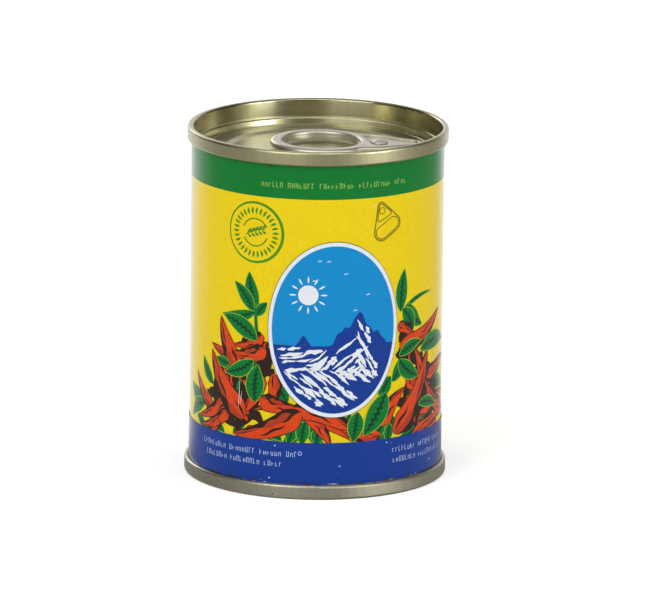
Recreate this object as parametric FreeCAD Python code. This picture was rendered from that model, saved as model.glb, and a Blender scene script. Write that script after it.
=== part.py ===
"""A small sealed food can: a welded tinplate body, a full-aperture easy-open top end with a ring-pull tab,
and a plain bottom end. Both ends are closed on to the body with a double seam.

Millimetres, +Z up. The origin is the centre of the ring that the can stands on. The tab lies along +X: its
finger ring is about the can's axis and its nose points to +X. The body's weld is at the back, at +Y.
"""

import FreeCAD, Part
import math
import os

V = FreeCAD.Vector

# ---- body --------------------------------------------------------------------------------------------
can_height = 73.8
body_radius = 26.45
body_plate = 0.19
weld_width = 0.9
weld_rise = 0.12

# ---- double seams ------------------------------------------------------------------------------------
seam_height = 3.0
seam_hook = 2.0
crown_bend = 0.5
top_plate = 0.25
top_compound = 0.07
bottom_plate = 0.28
bottom_compound = 0.12

# ---- top end, depths below the rim -------------------------------------------------------------------
chuck_depth = 3.95
chuck_taper = 0.35
ledge_width = 0.4
groove_depth = 5.35
groove_width = 0.75
groove_outer_slope = 0.3
groove_inner_slope = 0.15
panel_depth = 4.85
well_depth = 5.3
well_inset = 4.5
well_slope = 1.3
ledge_bend = 0.2
groove_bend = 0.3
well_bend = 0.9

score_inset = 0.75
score_width = 0.3
score_cut = 0.1

# ---- bottom end, depths above the standing ring ------------------------------------------------------
base_groove_depth = 3.9
base_groove_width = 1.0
base_chuck_taper = 0.3
base_panel_depth = 3.2
base_bend = 0.4
bead_count = 2
bead_inset = 5.5
bead_pitch = 6.5
bead_width = 2.6
bead_top = 1.2
bead_rise = 0.45

# ---- ring-pull tab -----------------------------------------------------------------------------------
tab_thickness = 1.45
ring_radius = 10.6
ring_band = 2.4
ring_lift = 0.3
nose_reach = 10.9
nose_radius = 2.6
nose_from_score = 1.2
neck_radius = 6.8
neck_from_nose = 9.2
waist_fillet = 3.0
top_curl = 0.8
under_curl = 0.45
hole_curl = 0.6
lip_width = 0.45
lip_height = 0.4
nose_clearance = 0.02

island_inset = 1.2
island_band = 1.05
island_slope = 1.3
island_depth = 0.45
island_edge = 0.2
web_thickness = 0.3

# ---- rivet that the panel carries, through the tab's web ---------------------------------------------
rivet_from_ring = 0.05
shank_radius = 0.9
head_radius = 1.7
head_edge = 0.25
head_edge_bend = 0.2
dome_radius = 0.8
dome_thickness = 0.75
dome_bend = 1.5
boss_radius = 2.6
boss_top_radius = 1.7
rivet_clearance = 0.04

tongue_gap = 0.15
tongue_slot = 0.25
tongue_root_angle = 100.0

PRECISION = 1e-6
MOST_OF_LEG = 0.499
SHARPEST_BEND = 0.12


# ---- paths in the plane through the axis -------------------------------------------------------------
def direction(a, b):
    """The unit vector from a to b, and how far apart they are."""
    length = math.hypot(b[0] - a[0], b[1] - a[1])
    return ((b[0] - a[0]) / length, (b[1] - a[1]) / length), length


def point(p):
    return V(p[0], 0, p[1])


def line(a, b):
    return Part.makeLine(point(a), point(b))


def bent_path(corners, bends):
    """Edges through (radius, z) corners. Each corner but the ends is rounded by an arc of its own bend,
    or left sharp where the bend is next to nothing."""
    edges = []
    start = corners[0]
    for before, corner, after, bend in zip(corners, corners[1:], corners[2:], bends):
        into, leg_in = direction(before, corner)
        out, leg_out = direction(corner, after)
        half_turn = math.acos(max(-1.0, min(1.0, into[0] * out[0] + into[1] * out[1]))) / 2
        trim = min(bend * math.tan(half_turn), MOST_OF_LEG * leg_in, MOST_OF_LEG * leg_out)
        if bend < SHARPEST_BEND or trim < PRECISION:
            edges.append(line(start, corner))
            start = corner
            continue
        first = (corner[0] - into[0] * trim, corner[1] - into[1] * trim)
        last = (corner[0] + out[0] * trim, corner[1] + out[1] * trim)
        inward, _ = direction(corner, ((first[0] + last[0]) / 2, (first[1] + last[1]) / 2))
        rise = trim * (1 - math.cos(half_turn)) / math.sin(half_turn)
        middle = (corner[0] + inward[0] * rise, corner[1] + inward[1] * rise)
        edges.append(line(start, first))
        edges.append(Part.Arc(point(first), point(middle), point(last)).toShape())
        start = last
    edges.append(line(start, corners[-1]))
    return edges


def beside(corners, bends, distance):
    """The same path moved to its right by distance, with the bends that keep it parallel."""
    sides = []
    for a, b in zip(corners, corners[1:]):
        along, _ = direction(a, b)
        sides.append((along[1], -along[0]))
    moved = [(corners[0][0] + sides[0][0] * distance, corners[0][1] + sides[0][1] * distance)]
    moved_bends = []
    for corner, bend, n, m in zip(corners[1:], bends, sides, sides[1:]):
        reach = distance / (1 + n[0] * m[0] + n[1] * m[1])
        moved.append((corner[0] + (n[0] + m[0]) * reach, corner[1] + (n[1] + m[1]) * reach))
        turns_left = n[0] * m[1] - n[1] * m[0] > 0
        moved_bends.append(max(0.0, bend + distance if turns_left else bend - distance))
    end, n = corners[-1], sides[-1]
    moved.append((end[0] + n[0] * distance, end[1] + n[1] * distance))
    return moved, moved_bends


def revolve(edges):
    """The solid that a closed profile sweeps round the axis."""
    face = Part.Face(Part.Wire(edges))
    return Part.Solid(face.revolve(V(0, 0, 0), V(0, 0, 1), 360).Shells[0])


class FormedEnd:
    """An end of one plate thickness. The path is its shown side, from the axis to the tip of its hook."""

    def __init__(self, corners, bends, plate):
        hidden, hidden_bends = beside(corners, bends, plate)
        self.shown = bent_path(corners, bends)
        self.hidden = bent_path(hidden, hidden_bends)
        self.tip = line(corners[-1], hidden[-1])
        self.axis_cut = line(hidden[0], corners[0])
        self.centre_z = hidden[0][1]
        self.hook_z = corners[-1][1]

    def solid(self):
        return revolve([*self.shown, self.tip, *reversed(self.hidden), self.axis_cut])


# ---- ends --------------------------------------------------------------------------------------------
def seam_path(plate, compound):
    """(radius, depth) corners and bends of a double seam, from the chuck wall over the crown to the hook."""
    inner = body_radius - body_plate - plate
    outer = body_radius + 2 * plate + body_plate + 2 * compound
    lip_bend = (outer - body_radius) / 2
    corners = [(inner, 0.0), (outer, 0.0), (outer, seam_height)]
    corners += [(body_radius, seam_height), (body_radius, seam_height - seam_hook)]
    return corners, [crown_bend, crown_bend, lip_bend, lip_bend]


def ledge_radius():
    """The inner edge of the ledge at the foot of the top end's chuck wall."""
    return body_radius - body_plate - top_plate - chuck_taper - ledge_width


def panel_radius():
    """Where the top end's panel turns down into the groove round it."""
    return ledge_radius() - groove_outer_slope - groove_width - groove_inner_slope


def score_radius():
    return panel_radius() - score_inset


def top_end():
    """Easy-open end: recessed well, panel, groove, ledge, chuck wall and seam."""
    seam, seam_bends = seam_path(top_plate, top_compound)
    well_edge = panel_radius() - well_inset
    path = [
        (0.0, well_depth),
        (well_edge - well_slope, well_depth),
        (well_edge, panel_depth),
        (panel_radius(), panel_depth),
        (panel_radius() + groove_inner_slope, groove_depth),
        (ledge_radius() - groove_outer_slope, groove_depth),
        (ledge_radius(), chuck_depth),
        (ledge_radius() + ledge_width, chuck_depth),
    ]
    bends = [well_bend, well_bend, groove_bend, groove_bend, groove_bend, ledge_bend, ledge_bend]
    corners = [(radius, can_height - depth) for radius, depth in path + seam]
    return FormedEnd(corners, bends + seam_bends, top_plate)


def bottom_end():
    """Plain end: panel with ring beads, groove, chuck wall and seam."""
    seam, seam_bends = seam_path(bottom_plate, bottom_compound)
    groove_outer = seam[0][0] - base_chuck_taper
    panel = groove_outer - base_groove_width
    path = [(0.0, base_panel_depth)]
    for bead in reversed(range(bead_count)):
        radius = panel - bead_inset - bead * bead_pitch
        path.append((radius - bead_width / 2, base_panel_depth))
        path.append((radius - bead_top / 2, base_panel_depth - bead_rise))
        path.append((radius + bead_top / 2, base_panel_depth - bead_rise))
        path.append((radius + bead_width / 2, base_panel_depth))
    path.append((panel, base_panel_depth))
    path.append((panel, base_groove_depth))
    path.append((groove_outer, base_groove_depth))
    return FormedEnd(path + seam, [base_bend] * (len(path) - 1) + seam_bends, -bottom_plate)


def score_groove():
    """The V-shaped ring that the panel tears along."""
    radius = score_radius()
    z = can_height - panel_depth
    rim = [(radius - score_width / 2, z), (radius, z - score_cut), (radius + score_width / 2, z)]
    return revolve([line(rim[0], rim[1]), line(rim[1], rim[2]), line(rim[2], rim[0])])


# ---- body --------------------------------------------------------------------------------------------
def can_body(top, bottom):
    """The filled body. It runs out to both ends' hidden sides, and its wall is hooked into their seams."""
    wall = line((body_radius, bottom.hook_z), (body_radius, top.hook_z))
    axis = line((0.0, top.centre_z), (0.0, bottom.centre_z))
    filled = revolve([wall, top.tip, *reversed(top.hidden), axis, *bottom.hidden, bottom.tip])
    return filled.fuse(weld_lap()).removeSplitter()


def weld_lap():
    """The lapped strip where the body's plate is welded, up the back between the seams."""
    length = can_height - 2 * seam_height
    base = V(0, 0, seam_height)
    ring = Part.makeCylinder(body_radius + weld_rise, length, base)
    ring = ring.cut(Part.makeCylinder(body_radius - body_plate, length, base))
    reach = body_radius + 2 * weld_rise
    strip = Part.makeBox(weld_width, reach, length, V(-weld_width / 2, 0, seam_height))
    return ring.common(strip)


# ---- ring-pull tab, in its own frame: origin under the ring's centre, nose to +X ----------------------
def tip_x():
    return ring_radius + nose_reach


def nose_x():
    return tip_x() - nose_radius


def slope_start():
    """The radius about the ring's centre where the island's wall starts down from the ring."""
    return ring_radius - ring_band + island_band


def rivet_x():
    """The rivet's head just clears the foot of the island's wall."""
    return slope_start() + island_slope + rivet_from_ring + head_radius


def disc(radius, base, height, x=0.0):
    """An upright cylinder on the tab's centre line."""
    return Part.makeCylinder(radius, height, V(x, 0, base))


def wedge(inset, base, height):
    """The tab's neck and nose: two circles joined by their tangents, moved in by inset."""
    neck_x = nose_x() - neck_from_nose
    neck = neck_radius - inset
    nose = nose_radius - inset
    lean = math.acos((neck - nose) / neck_from_nose)
    ends = []
    for x, radius in ((neck_x, neck), (nose_x(), nose)):
        for side in (1, -1):
            ends.append(V(x + radius * math.cos(lean), side * radius * math.sin(lean), base))
    wire = Part.Wire([
        Part.Arc(ends[0], V(neck_x - neck, 0, base), ends[1]).toShape(),
        Part.makeLine(ends[1], ends[3]),
        Part.Arc(ends[3], V(nose_x() + nose, 0, base), ends[2]).toShape(),
        Part.makeLine(ends[2], ends[0]),
    ])
    return Part.Face(wire).extrude(V(0, 0, height))


def edges_at(solid, z):
    """The solid's edges that lie flat at height z."""
    boxes = [(edge, edge.BoundBox) for edge in solid.Edges]
    return [edge for edge, box in boxes if abs(box.ZMin - z) < PRECISION and abs(box.ZMax - z) < PRECISION]


def rim_edges(solid, cutter):
    """The edges that a cutter left in the solid's top."""
    return [edge for edge in edges_at(solid, tab_thickness) if edge.distToShape(cutter)[0] < PRECISION]


def is_waist(edge):
    """Whether an edge is upright and lies where the ring's circle meets the neck."""
    a, b = edge.Vertexes[0].Point, edge.Vertexes[-1].Point
    upright = math.hypot(a.x - b.x, a.y - b.y) < PRECISION < abs(a.z - b.z)
    return upright and abs(a.y) > PRECISION and abs(math.hypot(a.x, a.y) - ring_radius) < PRECISION


def tab_blank():
    """The tab's outline with its curled outer edge, before the hole and the island."""
    blank = disc(ring_radius, 0.0, tab_thickness).fuse(wedge(0.0, 0.0, tab_thickness)).removeSplitter()
    blank = blank.makeFillet(waist_fillet, [edge for edge in blank.Edges if is_waist(edge)])
    blank = blank.makeFillet(top_curl, edges_at(blank, tab_thickness))
    return blank.makeFillet(under_curl, edges_at(blank, 0.0))


def island(floor, height, start, slope):
    """The sunk field between ring and nose. By the ring it ends in a cone that widens downward by slope."""
    cone = Part.makeCone(start + slope, start, height, V(0, 0, floor))
    return wedge(island_inset, floor, height).cut(cone)


def tongue_cut(height):
    """The C-shaped slot round the rivet that frees the tongue from the web. Its root is toward the nose."""
    inner = head_radius + tongue_gap
    outer = inner + tongue_slot
    slot = disc(outer, 0.0, height, rivet_x()).cut(disc(inner, 0.0, height, rivet_x()))
    half = math.radians(tongue_root_angle / 2)
    reach = 2 * outer
    centre = V(rivet_x(), 0, 0)
    root = Part.makePolygon([centre, centre + V(reach, reach * math.tan(half), 0),
                             centre + V(reach, -reach * math.tan(half), 0), centre])
    return slot.cut(Part.Face(root).extrude(V(0, 0, height)))


def web_levels():
    """The heights of the web's top and underside in the tab."""
    web_top = tab_thickness - island_depth
    return web_top, web_top - web_thickness


def tab_shape():
    """The whole tab in its own frame."""
    hole_radius = ring_radius - ring_band
    hole = disc(hole_radius, lip_height, tab_thickness)
    tab = tab_blank().cut(hole)
    tab = tab.makeFillet(hole_curl, rim_edges(tab, hole))
    tab = tab.cut(disc(hole_radius - lip_width, 0.0, tab_thickness))

    web_top, web_under = web_levels()
    start = slope_start()
    sunk = island(web_top, island_depth, start, island_slope)
    tab = tab.cut(sunk)
    tab = tab.makeFillet(island_edge, rim_edges(tab, sunk))
    tab = tab.cut(wedge(island_inset, 0.0, web_under).cut(disc(start + island_slope / 2, 0.0, web_under)))
    return tab.cut(tongue_cut(tab_thickness)).cut(disc(shank_radius + rivet_clearance, 0.0, tab_thickness, rivet_x()))


# ---- assembly ----------------------------------------------------------------------------------------
def tab_placement():
    """The tab rests on the panel at its nose, just inside the score, with its ring lifted off the well."""
    tilt = math.degrees(math.asin(ring_lift / (tip_x() - under_curl)))
    place = V(score_radius() - nose_from_score - tip_x(), 0, can_height - panel_depth + nose_clearance + ring_lift)
    return FreeCAD.Placement(place, FreeCAD.Rotation(V(0, 1, 0), tilt))


def rivet():
    """Boss, shank and low domed head, drawn up from the panel at right angles to the tab."""
    foot = tab_placement().multVec(V(rivet_x(), 0, 0)).z - (can_height - well_depth)
    web_top, web_under = web_levels()
    head_under = web_top + rivet_clearance
    head_top = head_under + dome_thickness
    boss_top = web_under - rivet_clearance
    corners = [
        (0.0, -foot - top_plate / 2),
        (boss_radius, -foot - top_plate / 2),
        (boss_top_radius, boss_top),
        (shank_radius, boss_top),
        (shank_radius, head_under),
        (head_radius, head_under),
        (head_radius, head_under + head_edge),
        (dome_radius, head_top),
        (0.0, head_top),
    ]
    bends = [0.0, groove_bend, 0.0, 0.0, 0.0, head_edge_bend, dome_bend]
    upright = revolve([*bent_path(corners, bends), line(corners[-1], corners[0])])
    upright.translate(V(rivet_x(), 0, 0))
    upright.Placement = tab_placement().multiply(upright.Placement)
    return upright


def build():
    top = top_end()
    bottom = bottom_end()
    tab = tab_shape()
    tab.Placement = tab_placement()
    return {
        "can_body": can_body(top, bottom),
        "top_end": top.solid().cut(score_groove()).fuse(rivet()).removeSplitter(),
        "bottom_end": bottom.solid(),
        "pull_tab": tab,
    }


os.makedirs("parts", exist_ok=True)
for name, shape in build().items():
    solid = shape.Solids[0]
    solid.exportStep(f"parts/{name}.step")
    print(name, len(shape.Solids), solid.isValid(), round(solid.Volume, 2))
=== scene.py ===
"""Looks of a small food can: tinplate ends, a ring-pull tab, and a body printed in yellow, green and blue."""

import math

import bpy
import numpy as np
from mathutils import Matrix, Vector


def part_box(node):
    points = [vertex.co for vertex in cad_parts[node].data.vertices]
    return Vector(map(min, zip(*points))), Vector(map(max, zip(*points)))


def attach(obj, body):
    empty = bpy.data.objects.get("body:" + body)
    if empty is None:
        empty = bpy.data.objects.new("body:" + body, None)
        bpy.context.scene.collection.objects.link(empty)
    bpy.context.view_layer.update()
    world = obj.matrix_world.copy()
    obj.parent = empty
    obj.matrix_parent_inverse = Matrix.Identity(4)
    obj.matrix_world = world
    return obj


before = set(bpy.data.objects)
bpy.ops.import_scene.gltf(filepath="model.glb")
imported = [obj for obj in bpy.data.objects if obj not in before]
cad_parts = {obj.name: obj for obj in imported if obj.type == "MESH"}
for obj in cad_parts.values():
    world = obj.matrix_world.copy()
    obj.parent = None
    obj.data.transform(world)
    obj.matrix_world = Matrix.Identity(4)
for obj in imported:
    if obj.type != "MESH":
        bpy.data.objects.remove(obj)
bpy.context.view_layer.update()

# ---- sizes, in metres --------------------------------------------------------------------------------
MM = 0.001
CAN_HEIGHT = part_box("top_end")[1].z
BODY_RADIUS = 26.45 * MM
SEAM_HEIGHT = 3.0 * MM
WALL_FROM = SEAM_HEIGHT + 0.02 * MM
GREEN_FROM = 63.7 * MM
BLUE_TO = 12.0 * MM
WELD_MARGIN = 2.2 * MM
RIVET = (12.94 * MM, 0.0, 70.3 * MM)
RIVET_HEAD = 1.9 * MM
RIVET_FADE = 2.5 * MM
GRAIN_DEPTH = 0.02 * MM
FILM_STEP = 0.006 * MM
CELL = 0.4 * MM
SMALLEST_FACE = 1e-6 * MM**2
# Where an effect starts to show on the metal and where it shows in full: heights, or distances from the axis.
# The chuck wall's bounds mark where the lid metal gets painted shade and a lower roughness.
CHUCK_WALL_HEIGHTS = (70.0 * MM, 70.6 * MM)
CHUCK_WALL_INSIDE = (23.6 * MM, 24.4 * MM)
CHUCK_WALL_OUTSIDE = (26.5 * MM, 26.2 * MM)
SEAM_EDGE = (26.8 * MM, 27.1 * MM)


def srgb(red, green, blue):
    """A colour given in steps of 0 to 255, as the linear values that shaders take."""
    c = np.array([red, green, blue]) / 255
    linear = np.where(c <= 0.04045, c / 12.92, ((c + 0.055) / 1.055) ** 2.4)
    return (*linear.tolist(), 1.0)


YELLOW = srgb(233, 204, 0)
GREEN = srgb(0, 117, 42)
BLUE = srgb(14, 56, 143)
SKY = srgb(0, 136, 200)
DEEP = BLUE
WHITE = srgb(224, 230, 236)
CHILI_RED = srgb(212, 66, 18)
CHILI_DUSK = srgb(172, 56, 24)
CHILI_DARK = srgb(46, 28, 22)
LEAF_GREEN = srgb(0, 116, 46)
LEAF_DARK = srgb(0, 58, 36)
LEAF_EDGE = srgb(150, 190, 40)
STAMP_GREEN = srgb(70, 140, 30)
OLIVE = srgb(112, 98, 14)
PALE_GREEN = srgb(150, 196, 84)
PALE_BLUE = srgb(176, 190, 226)
CHIP_GREY = srgb(150, 160, 190)
RUST_BROWN = srgb(66, 44, 30)
RUST = srgb(84, 58, 36)
LID_TIN = srgb(188, 182, 142)
BASE_TIN = srgb(188, 183, 162)
TAB_TIN = srgb(217, 211, 192)
# Pale tin painted on the rivet's head as a highlight.
RIVET_HIGHLIGHT_TIN = srgb(232, 228, 214)
DULL_TIN = srgb(150, 142, 104)
PALE_FLOOR = (0.85, 0.85, 0.85, 1.0)
DIM_FLOOR = (0.38, 0.38, 0.36, 1.0)
PURE_WHITE = (1.0, 1.0, 1.0, 1.0)
PLAIN_SWING = 0.03
PICTURE_SWING = 0.08


# ---- node helpers ------------------------------------------------------------------------------------
def put(tree, kind, inputs=None, **settings):
    """Adds a node, sets its settings, and joins or fills its inputs by name or number."""
    made = tree.nodes.new("ShaderNode" + kind)
    for key, value in settings.items():
        setattr(made, key, value)
    for key, value in (inputs or {}).items():
        if isinstance(value, bpy.types.NodeSocket):
            tree.links.new(value, made.inputs[key])
        else:
            made.inputs[key].default_value = value
    return made


def scaled(tree, colour, factor):
    """A colour times a factor."""
    return put(tree, "VectorMath", {0: colour, 3: factor}, operation="SCALE").outputs[0]


def math_node(tree, operation, a, b=0.0, c=0.0):
    """What one operation on up to three values gives."""
    return put(tree, "Math", {0: a, 1: b, 2: c}, operation=operation).outputs[0]


def fade(tree, value, start, end, low=0.0, high=1.0):
    """A value eased from low, where it is at start, to high, where it is at end."""
    values = {0: value, 1: start, 2: end, 3: low, 4: high}
    return put(tree, "MapRange", values, interpolation_type="SMOOTHSTEP").outputs[0]


def blend(tree, amount, a, b):
    """Colour a, turned towards colour b by an amount of 0 to 1."""
    return put(tree, "Mix", {0: amount, 6: a, 7: b}, data_type="RGBA").outputs[2]


def choose(tree, amount, a, b):
    """Value a, turned towards value b by an amount of 0 to 1."""
    return put(tree, "Mix", {0: amount, 2: a, 3: b}, data_type="FLOAT").outputs[0]


def noise(tree, vector, scale, detail=2.0, roughness=0.5):
    """A cloudy pattern of values from 0 to 1, with about as many clouds to the metre as its scale."""
    values = {"Vector": vector, "Scale": scale, "Detail": detail, "Roughness": roughness}
    return put(tree, "TexNoise", values).outputs[0]


def new_group(name, given, results):
    """An empty shader node group with named values: its tree, the values given and the ones to fill."""
    tree = bpy.data.node_groups.new(name, "ShaderNodeTree")
    for label in given:
        tree.interface.new_socket(label, in_out="INPUT", socket_type="NodeSocketFloat")
    for label in results:
        tree.interface.new_socket(label, in_out="OUTPUT", socket_type="NodeSocketFloat")
    return tree, tree.nodes.new("NodeGroupInput").outputs, tree.nodes.new("NodeGroupOutput").inputs


def use_group(tree, group, **given):
    """A node group placed in a material with its own values: its output sockets."""
    made = tree.nodes.new("ShaderNodeGroup")
    made.node_tree = group
    for label, value in given.items():
        made.inputs[label].default_value = value
    return made.outputs


def new_material(name):
    """A material with its Principled shader: (material, tree, shader)."""
    made = bpy.data.materials.new(name)
    made.use_nodes = True
    return made, made.node_tree, made.node_tree.nodes["Principled BSDF"]


# ---- shared effects ----------------------------------------------------------------------------------
def make_handling_wear():
    """A printed can's wear, by place: chips, fine scratches, and a mottled tone that swings about 1."""
    tree, given, out = new_group("Handling wear", ["Swing"], ["Chips", "Scratches", "Tone"])
    place = put(tree, "TexCoord").outputs["Object"]
    patches = noise(tree, place, 60.0, 1.0)
    spots = noise(tree, place, 520.0, 3.0, 0.6)
    chips = math_node(tree, "MULTIPLY", fade(tree, spots, 0.74, 0.77), fade(tree, patches, 0.5, 0.6))
    tree.links.new(chips, out["Chips"])
    stretch = {"Vector": place, "Scale": (60.0, 60.0, 900.0), "Rotation": (0.0, 0.35, 0.0)}
    hair = noise(tree, put(tree, "Mapping", stretch).outputs[0], 6.0, 2.0, 0.6)
    scratches = math_node(tree, "MULTIPLY", fade(tree, hair, 0.70, 0.78), fade(tree, patches, 0.48, 0.62))
    tree.links.new(scratches, out["Scratches"])
    darkest = math_node(tree, "SUBTRACT", 1.0, given["Swing"])
    palest = math_node(tree, "ADD", 1.0, given["Swing"])
    tree.links.new(fade(tree, noise(tree, place, 1400.0, 2.0), 0.3, 0.7, darkest, palest), out["Tone"])
    return tree


def make_tarnish_and_wall_shade():
    """Tinplate's uneven face, by place: rusty specks in patches and along the seams' edges, dull clouds, the
    rolled grain, a tone that follows it with painted shade added down the lid's chuck wall, and a roughness
    that swings with the clouds and is lower on that wall."""
    results = ["Specks", "Dullness", "Shade", "Grain", "Roughness"]
    tree, given, out = new_group("Tarnish and wall shade", ["Roughness"], results)
    place = put(tree, "TexCoord").outputs["Object"]
    flat = put(tree, "VectorMath", {0: place, 1: (1.0, 1.0, 0.0)}, operation="MULTIPLY").outputs[0]
    reach = put(tree, "VectorMath", {0: flat}, operation="LENGTH").outputs["Value"]
    height = put(tree, "SeparateXYZ", {0: place}).outputs["Z"]

    spots = noise(tree, place, 900.0, 3.0, 0.6)
    patches = noise(tree, place, 90.0, 1.0)
    worn = math_node(tree, "MAXIMUM", fade(tree, patches, 0.66, 0.74), fade(tree, reach, *SEAM_EDGE))
    tree.links.new(math_node(tree, "MULTIPLY", fade(tree, spots, 0.69, 0.72), worn), out["Specks"])

    clouds = noise(tree, place, 110.0, 1.0)
    tree.links.new(fade(tree, clouds, 0.3, 0.7, 0.0, 0.22), out["Dullness"])

    wall = fade(tree, height, *CHUCK_WALL_HEIGHTS)
    for edge in (CHUCK_WALL_OUTSIDE, CHUCK_WALL_INSIDE):
        wall = math_node(tree, "MULTIPLY", wall, fade(tree, reach, *edge))
    rolled = put(tree, "Mapping", {"Vector": place, "Scale": (1200.0, 400.0, 60.0)})
    grain = noise(tree, rolled.outputs[0], 1.0, 3.0, 0.6)
    tree.links.new(grain, out["Grain"])
    shade = fade(tree, grain, 0.25, 0.75, 0.93, 1.06)
    # Painted shade: the colour is darker down the chuck wall.
    shade = math_node(tree, "MULTIPLY", shade, fade(tree, wall, 0.0, 1.0, 1.0, 0.84))
    tree.links.new(shade, out["Shade"])

    smoothest = math_node(tree, "SUBTRACT", given["Roughness"], 0.03)
    roughest = math_node(tree, "ADD", given["Roughness"], 0.05)
    rough = fade(tree, clouds, 0.2, 0.8, smoothest, roughest)
    rough = math_node(tree, "SUBTRACT", rough, fade(tree, wall, 0.0, 1.0, 0.0, 0.12))
    tree.links.new(rough, out["Roughness"])
    return tree


handling_wear = make_handling_wear()
tarnish_and_wall_shade = make_tarnish_and_wall_shade()


# ---- materials ---------------------------------------------------------------------------------------
def varnish(tree, shader, colour, wear):
    """Gloss varnish over ink: chips show the pale undercoat, scratches whiten the ink and dull the gloss."""
    worn = blend(tree, wear["Chips"], colour, WHITE)
    worn = blend(tree, math_node(tree, "MULTIPLY", wear["Scratches"], 0.25), worn, WHITE)
    tree.links.new(worn, shader.inputs["Base Color"])
    rough = fade(tree, wear["Scratches"], 0.0, 1.0, 0.2, 0.5)
    tree.links.new(rough, shader.inputs["Roughness"])
    shader.inputs["Specular IOR Level"].default_value = 0.15
    shader.inputs["Coat Weight"].default_value = 1.0
    shader.inputs["Coat Roughness"].default_value = 0.12
    shader.inputs["Coat IOR"].default_value = 1.25


def flat_ink(name, colour, swing):
    """One ink under the varnish, whose tone swings by a share to either side."""
    made, tree, shader = new_material(name)
    wear = use_group(tree, handling_wear, Swing=swing)
    varnish(tree, shader, scaled(tree, colour[:3], wear["Tone"]), wear)
    return made


def tinplate(name, colour, roughness):
    """Lacquered tinplate: grain, rusty specks and dull clouds. The rivet's head is matt, with a painted
    highlight.
    """
    made, tree, shader = new_material(name)
    stain_and_wall_shade = use_group(tree, tarnish_and_wall_shade, Roughness=roughness)
    place = put(tree, "TexCoord").outputs["Object"]
    off_rivet = put(tree, "VectorMath", {0: place, 1: RIVET}, operation="DISTANCE").outputs["Value"]
    # Painted highlight: the rivet's head is coloured pale tin.
    plate = blend(tree, fade(tree, off_rivet, RIVET_HEAD, RIVET_FADE), RIVET_HIGHLIGHT_TIN, colour)
    plate = blend(tree, stain_and_wall_shade["Dullness"], plate, DULL_TIN)
    # Shade darkens the plate with the grain, and with painted shade down the chuck wall.
    plate = blend(tree, stain_and_wall_shade["Specks"], scaled(tree, plate, stain_and_wall_shade["Shade"]), RUST)
    tree.links.new(plate, shader.inputs["Base Color"])
    shader.inputs["Metallic"].default_value = 1.0
    matt_head = fade(tree, off_rivet, RIVET_FADE, RIVET_HEAD, 0.0, 0.55)
    tree.links.new(math_node(tree, "MAXIMUM", stain_and_wall_shade["Roughness"], matt_head), shader.inputs["Roughness"])
    bump = put(tree, "Bump", {"Height": stain_and_wall_shade["Grain"], "Strength": 0.25, "Distance": GRAIN_DEPTH})
    tree.links.new(bump.outputs[0], shader.inputs["Normal"])
    shader.inputs["Coat Weight"].default_value = 0.8
    shader.inputs["Coat Roughness"].default_value = 0.2
    return made


# ---- meshes of ink -----------------------------------------------------------------------------------
def add_mesh(name, patches, material):
    """Joins grids of points, each m x n x 3, into one smooth piece of four-sided faces that rides on the can.
    Faces too small to see, where a shape runs out to a point, are left out, and so are unused points."""
    corners, faces = [], []
    base = 0
    for points in patches:
        m, n = points.shape[:2]
        index = base + np.arange(m * n).reshape(m, n)
        quads = np.stack([index[:-1, :-1], index[1:, :-1], index[1:, 1:], index[:-1, 1:]], axis=-1)
        corners.append(points.reshape(-1, 3))
        faces.append(quads.reshape(-1, 4))
        base += m * n
    corners, faces = np.concatenate(corners), np.concatenate(faces)
    diagonals = corners[faces[:, 2:]] - corners[faces[:, :2]]
    area = np.linalg.norm(np.cross(diagonals[:, 0], diagonals[:, 1]), axis=-1) / 2
    used, faces = np.unique(faces[area > SMALLEST_FACE], return_inverse=True)
    corners, faces = corners[used], faces.reshape(-1, 4)
    mesh = bpy.data.meshes.new(name)
    mesh.vertices.add(len(corners))
    mesh.vertices.foreach_set("co", corners.astype(np.float32).ravel())
    mesh.loops.add(faces.size)
    mesh.loops.foreach_set("vertex_index", faces.astype(np.int32).ravel())
    mesh.polygons.add(len(faces))
    mesh.polygons.foreach_set("loop_start", np.arange(0, faces.size, 4, dtype=np.int32))
    mesh.update(calc_edges=True)
    mesh.shade_smooth()
    mesh.materials.append(material)
    piece = bpy.data.objects.new(name, mesh)
    bpy.context.scene.collection.objects.link(piece)
    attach(piece, "root")


# ---- the print, laid out flat ------------------------------------------------------------------------
# A place on the wall is (s, z) in mm: s round the wall from the middle of the front, and z up from the floor.
# The print's sizes are in mm too. Each shape is a film of ink, one step further out than what it overlaps.
films = {}
SPOTS = 2  # to the mm, on the map of how high the films lie
MAP_REACH = 100  # mm from the middle of the front to either side, and up
covered = np.zeros((2 * MAP_REACH * SPOTS, MAP_REACH * SPOTS), dtype=int)


def cover(points):
    """A shape's level: one above the highest film that lies at any of its points. It then covers them."""
    spots = np.floor(points.reshape(-1, 2) * SPOTS).astype(int) + np.array([MAP_REACH * SPOTS, 0])
    level = covered[spots[:, 0], spots[:, 1]].max() + 1
    covered[spots[:, 0], spots[:, 1]] = level
    return level


def wrap(points, level):
    """Flat places on to the wall: the angle is s over the radius, and the radius grows with the level."""
    angle = points[..., 0] * MM / BODY_RADIUS
    radius = BODY_RADIUS + level * FILM_STEP
    return np.stack([radius * np.sin(angle), -radius * np.cos(angle), points[..., 1] * MM], axis=-1)


def between(low, high):
    """The grid of straight rungs from curve low to curve high, in cells no wider than CELL."""
    width = np.abs(high - low).max() * MM
    rungs = np.linspace(0.0, 1.0, 2 + int(width / CELL))[None, :, None]
    return low[:, None, :] * (1 - rungs) + high[:, None, :] * rungs


def face_out(grid):
    """The grid with its columns turned round where its cells would face into the can."""
    along, across = grid[1:, :-1] - grid[:-1, :-1], grid[:-1, 1:] - grid[:-1, :-1]
    turn = (along[..., 0] * across[..., 1] - along[..., 1] * across[..., 0]).sum()
    return grid if turn > 0 else grid[:, ::-1]


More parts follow.
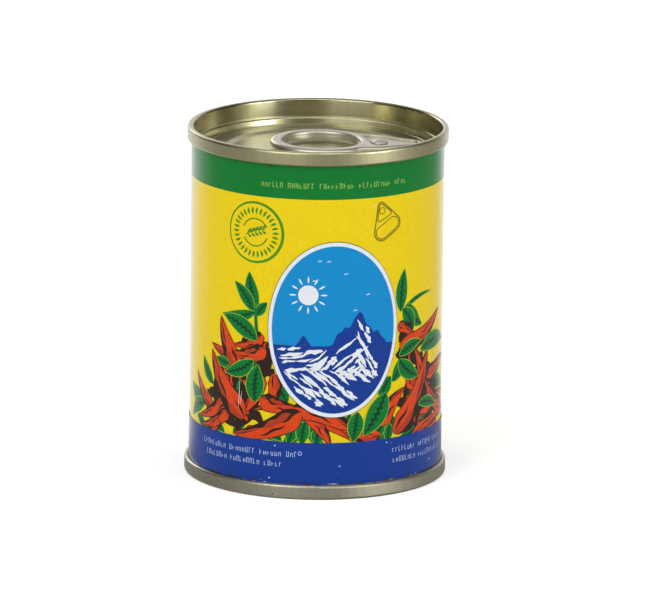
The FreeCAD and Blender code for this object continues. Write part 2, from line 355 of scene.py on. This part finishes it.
def lay(curves, inks):
    """Prints bands side by side, band k between curves k and k + 1, in ink k. All are one film."""
    bands = [face_out(between(low, high)) for low, high in zip(curves, curves[1:])]
    level = cover(np.concatenate([band.reshape(-1, 2) for band in bands]))
    for band, ink in zip(bands, inks):
        films.setdefault(ink, []).append(wrap(band, level))


def bow(start, end, bend, count):
    """A curve from start to end, pushed to its left at t by bend x 4 t (1 - t) of its length: t, its points,
    and the way to its left at each."""
    t = np.linspace(0.0, 1.0, count)[:, None]
    start, end = np.array(start, float), np.array(end, float)
    along = end - start
    aside = np.array([-along[1], along[0]])
    points = start + along * t + aside * bend * 4 * t * (1 - t)
    slope = along + aside * bend * 4 * (1 - 2 * t)
    left = np.stack([-slope[:, 1], slope[:, 0]], axis=-1) / np.linalg.norm(slope, axis=-1, keepdims=True)
    return t[:, 0], points, left


def stripes(points, left, offsets, inks):
    """Bands along a curve, whose edges are the curve moved to its left by each row of offsets."""
    lay([points + left * offset[:, None] for offset in offsets], inks)


LEAF_RIM = 0.14


def leaf(start, end, bend, width):
    """A leaf: half its width is a power of sin(pi t^0.85). It has a pale rim, and a dark midrib that runs out
    in pointed side veins, eight to a side, each the cube of a saw tooth."""
    t, points, left = bow(start, end, bend, 57)
    half = width / 2 * np.sin(np.pi * t**0.85) ** 0.8
    saws = [np.abs((t * 8 + turn) % 1 * 2 - 1) for turn in (0.0, 0.4)]
    right_veins, left_veins = (half * (0.1 + 0.4 * saw**3) for saw in saws)
    rim = np.maximum(half - LEAF_RIM, 0.0)
    rows = [-half, -rim, -np.minimum(right_veins, rim), np.minimum(left_veins, rim), rim, half]
    stripes(points, left, rows, ["rim", "leaf", "vein", "leaf", "rim"])


def pod(start, end, bend, width, shade):
    """A chilli: half its width grows as the root of t, then falls with a power of 1 - t^1.7 to a point. Its
    outline and one side are dark and ragged: its left side if shade is 1, its right if it is -1. Two broken
    folds run along it, each open only where a sine wave is above nothing."""
    t, points, left = bow(start, end, bend, 56)
    half = width / 2 * np.minimum(1.0, (t / 0.16) ** 0.5) * (1 - t**1.7) ** 0.75
    phase = 5 * width + start[0]
    ripple = 0.1 * np.sin(11 * t + phase) + 0.07 * np.sin(27 * t + 2 * phase)
    edge = 0.1 + 0.12 * np.abs(np.sin(9 * t + phase))
    folds = [np.maximum(0.0, 0.14 * np.sin(8 * t + phase + turn)) for turn in (0.0, 2.6)]
    rows = [
        -half, edge - half,
        half * (ripple - 0.34 - folds[0]), half * (ripple - 0.34 + folds[0]),
        half * (0.18 - ripple - folds[1]), half * (0.18 - ripple + folds[1]),
        half * (0.6 + 1.5 * ripple), half,
    ]
    rows = np.clip(np.maximum.accumulate(rows), -half, half)
    stripes(points, left, list(rows * shade), ["shadow", "pod"] * 2 + ["shadow", "dusk", "shadow"])


def stroke(start, end, bend, width, ink):
    """A brush stroke: widest at its middle, and pointed at both ends."""
    t, points, left = bow(start, end, bend, 24)
    half = width / 2 * np.sin(np.pi * t) ** 0.7
    stripes(points, left, [-half, half], [ink])


def streak(start, end, bend, width, ink):
    """A ragged stroke, pointed at both ends: its two sides swell and shrink by sine waves of their own."""
    t, points, left = bow(start, end, bend, 30)
    half = width / 2 * np.sin(np.pi * t) ** 0.6
    low = half * (1 + 0.4 * np.sin(8 * t + 40 * width) + 0.16 * np.sin(19 * t + 70 * width))
    high = half * (1 + 0.4 * np.sin(7 * t + 90 * width) + 0.16 * np.sin(17 * t + 20 * width))
    stripes(points, left, [-low, high], [ink])


def stalk(start, end, bend, width):
    """A green stalk of one width."""
    t, points, left = bow(start, end, bend, 30)
    half = np.full(len(t), width / 2)
    stripes(points, left, [-half, half], ["leaf"])


def disc(centre, half_s, half_z, ink, count=61):
    """A filled oval: a square grid of a and b drawn in to a disc, a by the root of 1 - b^2 / 2 and b by that
    of 1 - a^2 / 2."""
    u = np.linspace(-1.0, 1.0, count)
    a, b = np.meshgrid(u, u, indexing="ij")
    s = centre[0] + half_s * a * np.sqrt(1 - b**2 / 2)
    z = centre[1] + half_z * b * np.sqrt(1 - a**2 / 2)
    points = np.stack([s, z], axis=-1)
    films.setdefault(ink, []).append(wrap(points, cover(points)))


def rays(first, last, count):
    """Unit steps outwards at even angles, in degrees, from first to last."""
    angle = np.radians(np.linspace(first, last, count))
    return np.stack([np.cos(angle), np.sin(angle)], axis=-1)


def hoop(centre, half_s, half_z, width, ink, count=160):
    """An oval line: a band of one width inside an oval."""
    out = rays(0, 360, count)
    lay([centre + out * [half_s - width, half_z - width], centre + out * [half_s, half_z]], [ink])


def band_round(circles, width, ink):
    """A line drawn like a belt round circles (s, z, radius): at each angle it lies on the circle that reaches
    furthest that way. It is then divided evenly by length, so that its straight runs bend with the wall."""
    out = rays(0, 360, 721)
    circles = np.array(circles, float)
    furthest = (out @ circles[:, :2].T + circles[:, 2]).argmax(axis=1)
    centre, radius = circles[furthest, :2], circles[furthest, 2:]
    outer, inner = centre + radius * out, centre + (radius - width) * out
    run = np.concatenate([[0.0], np.cumsum(np.linalg.norm(np.diff(outer, axis=0), axis=-1))])
    even = np.linspace(0.0, run[-1], 2 + int(run[-1] * MM / CELL * 2))
    edges = [np.stack([np.interp(even, run, edge[:, k]) for k in (0, 1)], axis=-1) for edge in (inner, outer)]
    lay(edges, [ink])


def fine_print(start, end, height, ink, seed):
    """A row of small marks in groups, like a line of small print. Each is an upright with a bar, and half of
    them have a second upright."""
    rng = np.random.default_rng(seed)
    start, end = np.array(start, float), np.array(end, float)
    pitch, line = 0.72 * height, 0.11 * height
    steps = int(np.linalg.norm(end - start) / pitch)
    marks_to_gap = 0
    for k in range(steps):
        marks_to_gap -= 1
        if marks_to_gap < 0:
            marks_to_gap = int(rng.integers(4, 10))
            continue
        foot = start + (end - start) * k / steps
        tall = height * rng.choice([1.0, 0.72])
        side = np.array([[0.0, 0.0], [0.0, tall]])
        bar = np.array([[line, 0.0], [0.5 * pitch, 0.0]]) + [0.0, rng.choice([0.0, 0.45, 0.85]) * tall]
        lay([foot + side, foot + side + [line, 0.0]], [ink])
        lay([foot + bar, foot + bar + [0.0, line]], [ink])
        if rng.random() < 0.5:
            lay([foot + side + [0.5 * pitch, 0.0], foot + side + [0.5 * pitch + line, 0.0]], [ink])


def field(low, high, ink):
    """A plain field between two heights, round the wall but for a bare margin on each side of the weld."""
    reach = (math.pi * BODY_RADIUS - WELD_MARGIN) / MM
    s = np.linspace(-reach, reach, 720)
    curves = [np.stack([s, 0 * s + z / MM], axis=-1) for z in (low, high)]
    level = cover(between(*curves))
    films.setdefault(ink, []).append(wrap(np.stack(curves, axis=1), level))


# Each leaf is (root, tip, bend, width) and each pod (stalk's end, tip, bend, width, shaded side).
BACK_LEAVES = (
    ((-12.8, 39.2), (-14.6, 47.6), 0.05, 3.4), ((-13.5, 39.0), (-18.4, 45.0), -0.06, 3.0),
    ((-13.0, 39.2), (-21.9, 37.6), 0.08, 2.6), ((-12.9, 38.2), (-10.3, 41.4), 0.05, 2.3),
    ((-24.6, 21.8), (-28.4, 27.3), 0.08, 2.7), ((-27.4, 17.4), (-35.0, 20.4), 0.12, 4.0),
    ((-27.6, 17.1), (-34.4, 13.0), -0.12, 3.3), ((-21.4, 12.5), (-28.4, 12.6), 0.06, 2.2),
    ((-13.6, 14.2), (-7.4, 11.9), 0.06, 2.5), ((-3.2, 16.2), (-6.9, 11.4), 0.1, 3.3),
    ((-0.4, 15.9), (1.8, 11.2), -0.1, 3.3), ((-16.0, 17.4), (-18.6, 12.6), 0.1, 2.9),
    ((-10.2, 24.2), (-5.8, 20.0), 0.15, 3.4), ((19.2, 38.6), (20.2, 47.8), 0.03, 3.3),
    ((19.0, 38.4), (30.0, 41.4), 0.1, 1.2), ((21.6, 40.2), (26.0, 35.0), -0.16, 3.4),
    ((19.6, 39.2), (22.9, 34.0), 0.1, 3.4), ((28.4, 21.6), (38.6, 26.2), 0.06, 3.4),
    ((28.6, 21.6), (38.2, 19.4), 0.08, 3.4), ((17.0, 24.0), (19.6, 29.8), -0.1, 2.8),
    ((16.8, 25.2), (14.4, 20.2), -0.1, 3.2), ((17.6, 16.6), (12.6, 11.8), 0.1, 3.6),
    ((16.6, 15.2), (15.9, 11.0), 0.0, 2.4), ((24.8, 13.5), (18.6, 11.5), 0.08, 3.0),
)
BACK_PODS = (
    ((-18.8, 29.0), (-25.3, 30.7), 0.06, 2.7, 1.0), ((-11.2, 34.4), (-18.6, 31.6), 0.12, 3.0, -1.0),
    ((-17.0, 26.6), (-22.1, 37.0), 0.07, 4.6, 1.0), ((-10.6, 31.4), (-18.6, 30.0), 0.1, 3.9, -1.0),
    ((-24.4, 16.6), (-31.5, 23.6), 0.1, 3.2, 1.0), ((-19.6, 20.8), (-30.2, 14.2), 0.1, 3.8, -1.0),
    ((-19.6, 17.4), (-29.4, 12.4), 0.1, 3.0, -1.0), ((-9.0, 26.4), (-13.4, 18.2), 0.26, 3.2, 1.0),
    ((-11.8, 20.8), (-3.4, 19.6), -0.08, 4.2, 1.0), ((18.4, 36.0), (22.9, 33.0), 0.05, 2.7, 1.0),
    ((28.0, 23.0), (39.2, 25.8), 0.05, 3.0, 1.0), ((26.6, 22.6), (23.2, 30.6), -0.06, 3.2, -1.0),
    ((23.0, 21.4), (19.2, 26.8), -0.15, 4.0, -1.0), ((25.4, 15.9), (39.0, 18.4), 0.06, 3.4, 1.0),
    ((23.0, 11.9), (40.6, 14.3), 0.04, 2.7, -1.0), ((14.2, 14.9), (20.6, 22.4), 0.08, 4.4, 1.0),
)
LOW_PODS = (
    ((-1.8, 18.6), (3.4, 11.2), 0.05, 3.6, 1.0), ((2.0, 17.4), (9.8, 11.0), 0.08, 4.6, 1.0),
    ((8.2, 15.2), (12.6, 11.2), -0.1, 2.6, -1.0), ((-13.0, 14.6), (-18.4, 11.4), 0.1, 2.8, 1.0),
    ((34.0, 12.4), (24.8, 10.6), 0.08, 3.2, 1.0), ((-22.6, 14.6), (-25.6, 11.6), 0.1, 2.4, 1.0),
)
LOW_LEAVES = (
    ((-4.6, 17.0), (-5.8, 11.4), 0.06, 3.0), ((-2.0, 16.6), (-2.6, 11.4), -0.05, 3.0),
    ((0.5, 15.4), (0.1, 11.2), 0.05, 2.8), ((7.2, 18.0), (6.2, 13.4), 0.06, 2.8),
    ((-11.8, 14.6), (-6.8, 12.0), 0.08, 2.6), ((15.0, 15.8), (11.8, 12.6), 0.1, 2.8),
    ((-26.0, 14.2), (-20.8, 12.0), 0.08, 2.6), ((-31.4, 13.8), (-27.6, 11.6), 0.1, 2.4),
)
FRONT_PODS = (
    ((-12.2, 26.2), (-16.0, 17.1), 0.08, 4.6, -1.0), ((-15.4, 16.2), (-25.0, 29.4), 0.08, 5.8, 1.0),
    ((-4.6, 19.4), (9.4, 12.4), 0.1, 4.4, 1.0), ((-2.8, 18.6), (-18.6, 12.5), 0.08, 5.2, -1.0),
    ((14.2, 13.2), (5.2, 14.9), 0.1, 3.2, 1.0), ((18.8, 31.2), (33.8, 37.0), -0.08, 4.4, -1.0),
    ((37.4, 14.9), (27.2, 23.2), 0.12, 4.0, -1.0), ((17.4, 13.0), (28.2, 30.0), -0.1, 5.4, -1.0),
)
FRONT_LEAVES = (
    ((-12.6, 33.0), (-21.3, 37.4), -0.08, 3.9), ((-13.4, 28.9), (-20.8, 25.4), 0.1, 3.4),
    ((-13.0, 19.9), (-12.3, 28.0), 0.05, 4.4), ((-19.4, 27.3), (-23.4, 28.1), 0.1, 2.5),
    ((9.0, 18.4), (8.0, 11.9), 0.0, 3.6), ((15.4, 22.0), (10.2, 13.2), 0.05, 4.8),
    ((25.4, 29.4), (37.4, 29.6), 0.1, 4.0), ((18.8, 29.2), (25.6, 31.6), 0.08, 2.8),
    ((18.8, 28.6), (24.8, 24.2), -0.1, 3.8), ((24.8, 18.0), (32.6, 16.4), 0.08, 2.6),
)
# The dark hearts of the heaps: (centre, half the width, half the height).
HEARTS = (
    ((-18.4, 20.6), 6.4, 6.8), ((-13.0, 29.0), 3.8, 4.6), ((26.4, 19.8), 6.4, 7.0), ((21.4, 30.0), 2.6, 4.6),
    ((-1.0, 17.2), 5.0, 1.6),
)
HEART_SPIKES = 15
MM2_PER_SCRAP = 2.4
STALK = ((-12.4, 33.0), (-13.0, 40.0), 0.03, 0.8)


def heart(centre, half_s, half_z, rng):
    """The dark gap at the heart of a heap: a spiked oval with scraps of pod and leaf in it."""
    disc(centre, half_s, half_z, "shadow")
    for k in range(HEART_SPIKES):
        turn = 2 * np.pi * k / HEART_SPIKES + 0.2 * math.sin(3 * k)
        out = np.array([half_s * math.cos(turn), half_z * math.sin(turn)])
        streak(centre + out * 0.6, centre + out * (1.25 + 0.15 * math.sin(5 * k)), 0.12, 1.5, "shadow")
    for _ in range(int(half_s * half_z / MM2_PER_SCRAP)):
        turn, reach = rng.uniform(0.0, 2 * np.pi), math.sqrt(rng.uniform(0.0, 0.7))
        foot = np.array(centre) + reach * np.array([half_s * math.cos(turn), half_z * math.sin(turn)])
        rise = np.array([rng.uniform(-1.6, 1.6), rng.uniform(2.0, 3.6)])
        width, ink = rng.uniform(0.5, 1.0), rng.choice(["pod", "pod", "leaf"])
        streak(foot - rise / 2, foot + rise / 2, 0.1, width, ink)


def heaps():
    """Chillies and leaves piled up on both sides of the picture, and between it and the blue field."""
    rng = np.random.default_rng(7)
    for place in BACK_LEAVES:
        leaf(*place)
    stalk(*STALK)
    for place in HEARTS:
        heart(*place, rng)
    for place in LOW_LEAVES:
        leaf(*place)
    for place in BACK_PODS + LOW_PODS + FRONT_PODS:
        pod(*place)
    for place in FRONT_LEAVES:
        leaf(*place)


# The picture's own places are (x, z) from its middle, and u is x as a share of half its width inside the rim.
PICTURE = np.array([3.95, 36.1])
HALF_WIDE, HALF_TALL = 14.05, 18.6
RIM, OUTLINE = 0.8, 0.12
WIDE, TALL = HALF_WIDE - RIM, HALF_TALL - RIM
LAKE = -3.4
SUN = PICTURE + [-5.6, 7.4]
SUN_RADIUS, SUN_RAYS = 2.1, 12
# The hills' four slopes: how their strokes lie, in degrees, and where one slope gives way to the next.
LEFT_SLOPE, MIDDLE_SLOPE, RIGHT_SLOPE, FOOT_SLOPE = 10, 36, -62, -38
MIDDLE_FROM, RIGHT_FROM, FOOT_BELOW = -4.0, 5.4, -9.5
ROW_REACH, ROW_PITCH, ROW_SWAY = 18.0, 1.05, 0.35
# Ovals left in shade: (x, z, half the width, half the height).
SHADES = ((2.2, -3.0, 2.4, 3.2), (-2.5, -10.4, 3.4, 1.6), (4.4, -13.0, 1.6, 1.6), (10.5, -5.2, 2.0, 2.6))
BIRDS = ((0.7, 50.6), (2.6, 50.5), (11.0, 43.2), (8.2, 40.0), (-0.4, 46.4), (6.2, 47.8))


def high_peak(u):
    """The height of the higher peak: it falls from 3.5 mm by 13 times a power of the way off it."""
    return 3.5 - 13 * np.abs(u - 0.38) ** 0.9


def low_peak(u):
    """The height of the lower peak on the left: it falls from -1.6 mm by 11 times the way off it."""
    return -1.6 - 11 * np.abs(u + 0.5)


def slope_of(x, z):
    """Which way the strokes run at a place in the picture, in degrees, by which of its slopes it lies on."""
    if z < FOOT_BELOW:
        return FOOT_SLOPE
    if x > RIGHT_FROM:
        return RIGHT_SLOPE
    return LEFT_SLOPE if x < MIDDLE_FROM else MIDDLE_SLOPE


def snowy(x, z):
    """Whether a place lies inside the oval, a little below the peaks or the shore, and outside the shades."""
    u = x / WIDE
    ridge = max(high_peak(u) - 0.9, low_peak(u) - 0.6, LAKE - 0.6)
    shaded = any(math.hypot((x - s) / half_x, (z - t) / half_z) < 1 for s, t, half_x, half_z in SHADES)
    return math.hypot(u, z / TALL) < 0.95 and z < ridge and not shaded


def snow():
    """White brush strokes over the hills, in rows that follow each slope and break off in its shade."""
    rng = np.random.default_rng(12)
    for slope in (LEFT_SLOPE, MIDDLE_SLOPE, RIGHT_SLOPE, FOOT_SLOPE):
        along = np.array([math.cos(math.radians(slope)), math.sin(math.radians(slope))])
        across = np.array([-along[1], along[0]])
        for row in np.arange(-ROW_REACH, ROW_REACH, ROW_PITCH):
            place = rng.uniform(-19.0, -16.0)
            while place < ROW_REACH:
                length = rng.uniform(1.6, 6.5)
                side = row + rng.uniform(-ROW_SWAY, ROW_SWAY, 3)[0]
                start, middle, end = (along * (place + d) + across * side for d in (0.0, length / 2, length))
                if snowy(*start) and snowy(*end) and slope_of(*middle) == slope:
                    bend = rng.uniform(-0.08, 0.08)
                    streak(PICTURE + start, PICTURE + end, bend, rng.uniform(0.4, 0.9), "white")
                    place += length * 0.8
                place += rng.uniform(0.2, 0.7)


def ground(ridge):
    """All of the oval that lies below a ridge of u: each column runs from the oval's lower edge up to it."""
    u = np.linspace(-0.995, 0.995, 120)
    edge = TALL * np.sqrt(1 - u**2)
    top = np.clip(ridge(u), 0.02 - edge, edge)
    lay([np.stack([PICTURE[0] + WIDE * u, PICTURE[1] + z], axis=-1) for z in (-edge, top)], ["deep"])


def picture():
    """The oval: a dark line and a white rim round a sky with a sun and birds, and snowy hills by a lake."""
    disc(PICTURE, HALF_WIDE + OUTLINE, HALF_TALL + OUTLINE, "outline")
    disc(PICTURE, HALF_WIDE, HALF_TALL, "white", 81)
    disc(PICTURE, WIDE, TALL, "sky", 81)
    disc(SUN, SUN_RADIUS, SUN_RADIUS, "white", 25)
    for ray in rays(0, 360, SUN_RAYS + 1)[:-1]:
        stroke(SUN + ray * (SUN_RADIUS + 0.4), SUN + ray * (SUN_RADIUS + 1.9), 0.0, 0.35, "white")
    ground(lambda u: 0 * u + LAKE)
    ground(lambda u: high_peak(u) + 0.5 * np.sin(19 * u) + 0.3 * np.sin(47 * u))
    ground(lambda u: low_peak(u) + 0.5 * np.sin(23 * u))
    snow()
    hoop(PICTURE, HALF_WIDE, HALF_TALL, RIM, "white")
    for s, z in BIRDS:
        stroke((s - 0.45, z), (s + 0.45, z + 0.12), 0.12, 0.2, "white")


STAMP = np.array([-13.35, 56.0])
STAMP_RADIUS = 6.55
WREATH_INSIDE, WREATH_OUTSIDE, WREATH_TICKS = 3.9, 5.4, 30
ARC_RADIUS, ARC_WIDTH = 2.75, 0.3
SPRIG_PAIRS = 5


def stamp():
    """A round stamp: a ring thicker on one side, a wreath of ticks, two arcs and a sprig of paired leaves."""
    out = rays(0, 360, 120)
    lay([STAMP + [-0.16, 0.0] + out * (STAMP_RADIUS - 0.5), STAMP + out * STAMP_RADIUS], ["stamp"])
    for ray in rays(0, 360, WREATH_TICKS + 1)[:-1]:
        stroke(STAMP + ray * WREATH_INSIDE, STAMP + ray * WREATH_OUTSIDE, 0.12, 0.52, "stamp")
    for first, last in ((25, 160), (205, 340)):
        out = rays(first, last, 50)
        lay([STAMP + out * ARC_RADIUS, STAMP + out * (ARC_RADIUS + ARC_WIDTH)], ["stamp"])
    stroke(STAMP + [-2.6, -0.9], STAMP + [2.6, 0.9], 0.08, 0.4, "stamp")
    for k in range(SPRIG_PAIRS):
        foot = STAMP + np.array([-1.7, -0.5]) + np.array([0.85, 0.26]) * k
        for side in (1, -1):
            stroke(foot, foot + [0.9, 0.35 + 0.9 * side], 0.1 * side, 0.5, "stamp")


TAB_SIGN = (15.4, 58.4)


def tab_sign():
    """A line drawing of a ring-pull tab, leaning to the left: its outline, finger hole, tongue and rivet, all
    drawn round circles (s, z, radius)."""
    s, z = TAB_SIGN
    nose, low, high = (s - 1.5, z + 3.35), (s - 1.35, z - 2.3), (s + 1.5, z - 0.5)
    band_round([(*nose, 0.95), (*low, 1.85), (*high, 1.85)], 0.28, "olive")
    band_round([(*low, 1.45), (*high, 1.45)], 0.22, "olive")
    tongue = [(s - 1.5, z + 3.3, 0.6), (s - 1.95, z + 0.5, 0.5), (s + 0.55, z + 1.75, 0.5)]
    band_round(tongue, 0.22, "olive")
    band_round([(nose[0] + 0.2, nose[1] - 1.0, 0.75)], 0.18, "olive")


PRINT_HEIGHT = 1.15
PRINT_RING = (-3.06, 9.71)
PRINT_ROWS = (
    ("pale_green", 66.0, -12.8, 20.4),
    ("pale_blue", 8.9, -28.6, -3.4), ("pale_blue", 6.7, -27.4, -6.6),
    ("pale_blue", 8.9, 16.4, 40.4), ("pale_blue", 6.7, 16.6, 40.4),
)


def small_print():
    """Rows of marks where a can carries its small print, and a little ring at the end of one."""
    for seed, (ink, z, first, last) in enumerate(PRINT_ROWS, 1):
        fine_print((first, z), (last, z), PRINT_HEIGHT, ink, seed)
    hoop(PRINT_RING, 0.44, 0.44, 0.14, "pale_blue", 25)


FLECKS = (
    (-8.4, 11.1), (15.8, 11.2), (22.5, 9.5), (-9.6, 4.1),
    (29.5, 5.2), (5.2, 7.0), (-23.0, 31.6), (12.2, 62.0),
)
SCRATCHES = (((-16.8, 24.2), (-17.1, 17.8), 0.01, 0.13), ((-16.2, 21.9), (-16.5, 18.9), -0.01, 0.11))


def wear_marks():
    """Flecks chipped down to the white, and two fine scratches."""
    for fleck in FLECKS:
        disc(fleck, 0.16, 0.13, "white", 5)
    for scratch in SCRATCHES:
        stroke(*scratch, "white")


CRUST_REACH = 80.0
CRUST_STREAKS = 130
CHIP_EVERY = 6
TOP_SPECKS = 14


def crust():
    """Broken brown lines of rust where the wall enters the bottom seam, with grey chips between them, and a
    few specks below the top seam."""
    rng = np.random.default_rng(21)
    for k in range(CRUST_STREAKS):
        s = rng.uniform(-CRUST_REACH, CRUST_REACH)
        z = WALL_FROM / MM + 0.04 + rng.exponential(0.12)
        end = (s + 0.3 + min(rng.exponential(0.8), 4.0), z + rng.uniform(-0.05, 0.05))
        ink = "rust" if k % CHIP_EVERY else "chip"
        streak((s, z), end, 0.0, rng.uniform(0.1, 0.3), ink)
    for _ in range(TOP_SPECKS):
        s = rng.uniform(-CRUST_REACH, CRUST_REACH)
        z = (CAN_HEIGHT - WALL_FROM) / MM - rng.uniform(0.1, 0.4)
        streak((s, z), (s + rng.uniform(0.4, 1.2), z), 0.0, rng.uniform(0.1, 0.25), "rust")


INKS = {
    "yellow": YELLOW, "green": GREEN, "blue": BLUE, "sky": SKY, "deep": DEEP, "white": WHITE,
    "pod": CHILI_RED, "dusk": CHILI_DUSK, "shadow": CHILI_DARK, "outline": CHILI_DARK,
    "leaf": LEAF_GREEN, "vein": LEAF_DARK, "rim": LEAF_EDGE,
    "stamp": STAMP_GREEN, "olive": OLIVE, "pale_green": PALE_GREEN, "pale_blue": PALE_BLUE,
    "rust": RUST_BROWN, "chip": CHIP_GREY,
}
PAINTED = ("pod", "dusk", "leaf", "vein")

field(WALL_FROM, GREEN_FROM, "yellow")
field(GREEN_FROM, CAN_HEIGHT - WALL_FROM, "green")
heaps()
field(WALL_FROM, BLUE_TO, "blue")
picture()
stamp()
tab_sign()
small_print()
wear_marks()
crust()
for ink, patches in films.items():
    swing = PICTURE_SWING if ink in PAINTED else PLAIN_SWING
    add_mesh("ink_" + ink, patches, flat_ink("ink_" + ink, INKS[ink], swing))

lid_metal = tinplate("lid_tinplate", LID_TIN, 0.35)
METALS = {
    "can_body": lid_metal,
    "top_end": lid_metal,
    "bottom_end": tinplate("base_tinplate", BASE_TIN, 0.4),
    "pull_tab": tinplate("tab_tinplate", TAB_TIN, 0.42),
}
for node, metal in METALS.items():
    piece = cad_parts[node]
    piece.data.materials.clear()
    piece.data.materials.append(metal)


# ---- studio ------------------------------------------------------------------------------------------
FLOOR_REACH = 6.0
CAMERA_GLOW = 0.35
ROOM_LIGHT = 0.72


def make_floor():
    """A wide pale floor that glows to the camera, so that it reads as white where no shadow lies. Gloss meets
    it pale behind the can, a little to the left, and dimmer elsewhere, by the way from the can's axis."""
    half = FLOOR_REACH
    mesh = bpy.data.meshes.new("floor")
    corners = [(-half, -half, 0), (half, -half, 0), (half, half, 0), (-half, half, 0)]
    mesh.from_pydata(corners, [], [(0, 1, 2, 3)])
    made, tree, shader = new_material("studio_floor")
    path = put(tree, "LightPath")
    glossy = path.outputs["Is Glossy Ray"]
    way = put(tree, "VectorMath", {0: put(tree, "TexCoord").outputs["Object"]}, operation="NORMALIZE")
    way = put(tree, "SeparateXYZ", {0: way.outputs[0]}).outputs
    behind_left = math_node(tree, "MULTIPLY_ADD", way["X"], -0.22, way["Y"])
    dim = math_node(tree, "MULTIPLY", glossy, fade(tree, behind_left, 0.88, 0.4))
    tree.links.new(blend(tree, dim, PALE_FLOOR, DIM_FLOOR), shader.inputs["Base Color"])
    shader.inputs["Roughness"].default_value = 0.9
    shader.inputs["Specular IOR Level"].default_value = 0.0
    shader.inputs["Emission Color"].default_value = PURE_WHITE
    glow = math_node(tree, "MULTIPLY", glossy, fade(tree, way["Y"], 0.5, 0.95, 0.0, 0.12))
    glow = math_node(tree, "MULTIPLY_ADD", path.outputs["Is Camera Ray"], CAMERA_GLOW, glow)
    tree.links.new(glow, shader.inputs["Emission Strength"])
    mesh.materials.append(made)
    floor = bpy.data.objects.new("floor", mesh)
    bpy.context.scene.collection.objects.link(floor)


def make_world():
    """White to the camera, and an even light on what is matt. Gloss meets a bright wall behind the can, a dim
    ceiling, and a dark room elsewhere."""
    world = bpy.data.worlds.new("studio")
    world.use_nodes = True
    tree = world.node_tree
    back = tree.nodes["Background"]
    back.inputs["Color"].default_value = PURE_WHITE
    path = put(tree, "LightPath")
    way = put(tree, "SeparateXYZ", {0: put(tree, "TexCoord").outputs["Generated"]}).outputs
    behind = fade(tree, way["Y"], 0.5, 0.95, 0.03, 0.85)
    above = fade(tree, way["Z"], 0.6, 0.95, 0.0, 0.25)
    gloss = math_node(tree, "MAXIMUM", behind, above)
    lit = choose(tree, path.outputs["Is Glossy Ray"], ROOM_LIGHT, gloss)
    tree.links.new(choose(tree, path.outputs["Is Camera Ray"], lit, 1.0), back.inputs["Strength"])
    bpy.context.scene.world = world


def make_softbox(name, azimuth, elevation, distance, size, power, in_gloss_only=False):
    """A rectangular lamp aimed at the can's middle. Azimuth 0 is in front of it, and 90 on its right."""
    a, e = math.radians(azimuth), math.radians(elevation)
    aim = Vector((0.0, 0.0, CAN_HEIGHT / 2))
    place = aim + distance * Vector((math.sin(a) * math.cos(e), -math.cos(a) * math.cos(e), math.sin(e)))
    light = bpy.data.lights.new(name, "AREA")
    light.shape = "RECTANGLE"
    light.size, light.size_y = size
    light.energy = power
    lamp = bpy.data.objects.new(name, light)
    lamp.location = place
    lamp.rotation_euler = (aim - place).to_track_quat("-Z", "Y").to_euler()
    lamp.visible_diffuse = not in_gloss_only
    bpy.context.scene.collection.objects.link(lamp)


LENS, SENSOR = 528.7, 36.0
CAMERA_DISTANCE = 2.0
CAMERA_RISE = math.radians(13.371)
CAMERA_ROLL = math.radians(0.637)
CAMERA_AIM = Vector((1.795 * MM, 0.0, 36.25 * MM))


def make_camera():
    """A long lens from a little above, aimed just beside the can's axis."""
    data = bpy.data.cameras.new("camera")
    data.lens = LENS
    data.sensor_width = SENSOR
    forward = Vector((0.0, math.cos(CAMERA_RISE), -math.sin(CAMERA_RISE)))
    turn = Matrix.Rotation(CAMERA_ROLL, 3, "Z").to_quaternion()
    camera = bpy.data.objects.new("camera", data)
    camera.location = CAMERA_AIM - forward * CAMERA_DISTANCE
    camera.rotation_mode = "QUATERNION"
    camera.rotation_quaternion = forward.to_track_quat("-Z", "Y") @ turn
    data.clip_start, data.clip_end = 0.1, 40.0
    bpy.context.scene.collection.objects.link(camera)
    bpy.context.scene.camera = camera


make_floor()
make_world()
# Each lamp has its azimuth and elevation in degrees, its distance and size in metres, and its power in watts.
make_softbox("key", -40, 46, 1.8, (0.9, 0.9), 10.0)
make_softbox("side", 60, 32, 1.5, (0.8, 1.0), 5.0)
make_softbox("strip", 55, 8, 1.2, (0.5, 0.36), 5.6, in_gloss_only=True)
make_softbox("screen", -28, 8, 1.2, (0.9, 0.36), 2.2, in_gloss_only=True)
make_softbox("back", -152, 22, 1.3, (0.5, 0.5), 1.6, in_gloss_only=True)
make_softbox("top", 10, 62, 1.4, (1.0, 0.5), 4.0, in_gloss_only=True)
make_camera()
bpy.context.scene.view_settings.view_transform = "Standard"
